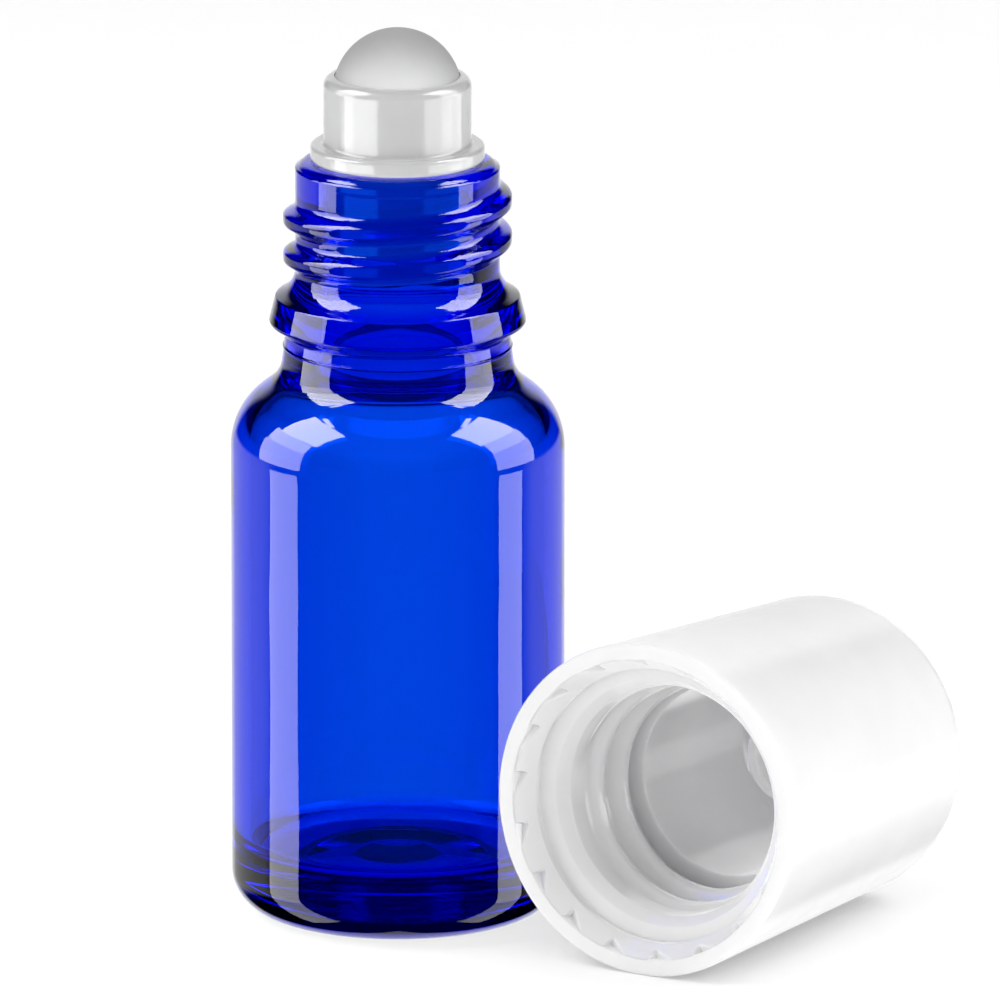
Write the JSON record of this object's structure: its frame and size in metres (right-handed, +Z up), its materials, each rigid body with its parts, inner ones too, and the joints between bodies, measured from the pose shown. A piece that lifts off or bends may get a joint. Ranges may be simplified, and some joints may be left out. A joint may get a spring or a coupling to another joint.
{
  "type": "roll on bottle",
  "caption": "Cobalt blue glass roll-on bottle with a snap-in housing that traps a rolling ball, and its white screw cap lying beside it.",
  "frame": {"origin": "centre of the ring that the bottle stands on, at the level of the table", "axes": "+Z up along the bottle's axis; +X along the lying cap, from its mouth towards its closed end"},
  "size_m": [0.0359, 0.0505, 0.0678],
  "materials": {
    "blue_glass": "clear cobalt blue, fire-polished",
    "housing_plastic": "glossy natural white",
    "ball_plastic": "fine matte grey",
    "cap_plastic": "glossy white"
  },
  "bodies": {
    "bottle": {"glass_bottle": "blue_glass", "roller_housing": "housing_plastic"},
    "ball": {"roller_ball": "ball_plastic"},
    "cap": {"screw_cap": "cap_plastic"}
  },
  "joints": [
    {"name": "ball_roll", "type": "hinge", "parent": "bottle", "child": "ball", "pos_m": [0, 0, 0.06302], "axis": [0, 1, 0], "continuous": true},
    {"name": "cap_lift", "type": "slide", "parent": "bottle", "child": "cap", "axis": [0, 0, 1], "range_m": [0, 0.06]}
  ]
}
